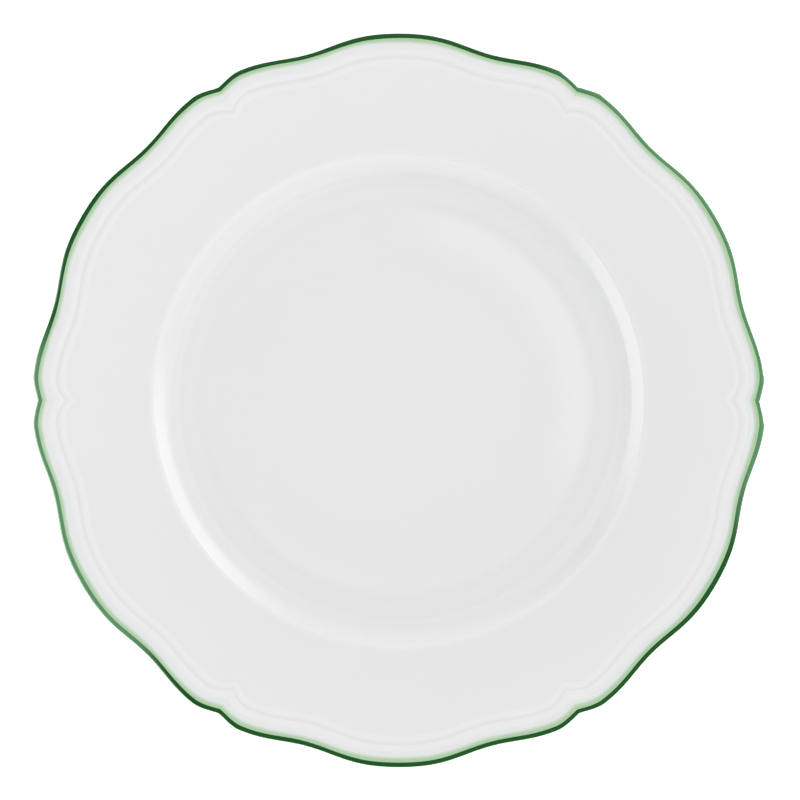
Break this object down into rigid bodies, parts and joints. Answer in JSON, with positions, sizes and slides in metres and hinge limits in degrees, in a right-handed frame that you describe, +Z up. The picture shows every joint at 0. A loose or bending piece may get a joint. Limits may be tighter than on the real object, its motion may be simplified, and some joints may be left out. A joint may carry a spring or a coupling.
{
  "type": "dinner plate",
  "caption": "Round white china dinner plate with a lobed and notched rim, two embossed lines, a green painted lip and a glazed foot ring.",
  "frame": {"origin": "centre of the foot ring, on the plane that the plate stands on", "axes": "+Z up, out of the well; +X through one notch of the rim; +Y across two opposite crests"},
  "size_m": [0.269, 0.27, 0.0236],
  "materials": {
    "porcelain": "unglazed, fine and matt",
    "glaze": "clear gloss glaze over white porcelain",
    "dark_green_enamel": "hand-painted glossy enamel line",
    "pale_green_enamel": "thin translucent enamel wash"
  },
  "bodies": {
    "root": {"porcelain_body": "porcelain", "glaze_coat": "glaze", "foot_recess_glaze": "glaze", "dark_green_line": "dark_green_enamel", "pale_green_band": "pale_green_enamel"}
  },
  "joints": []
}
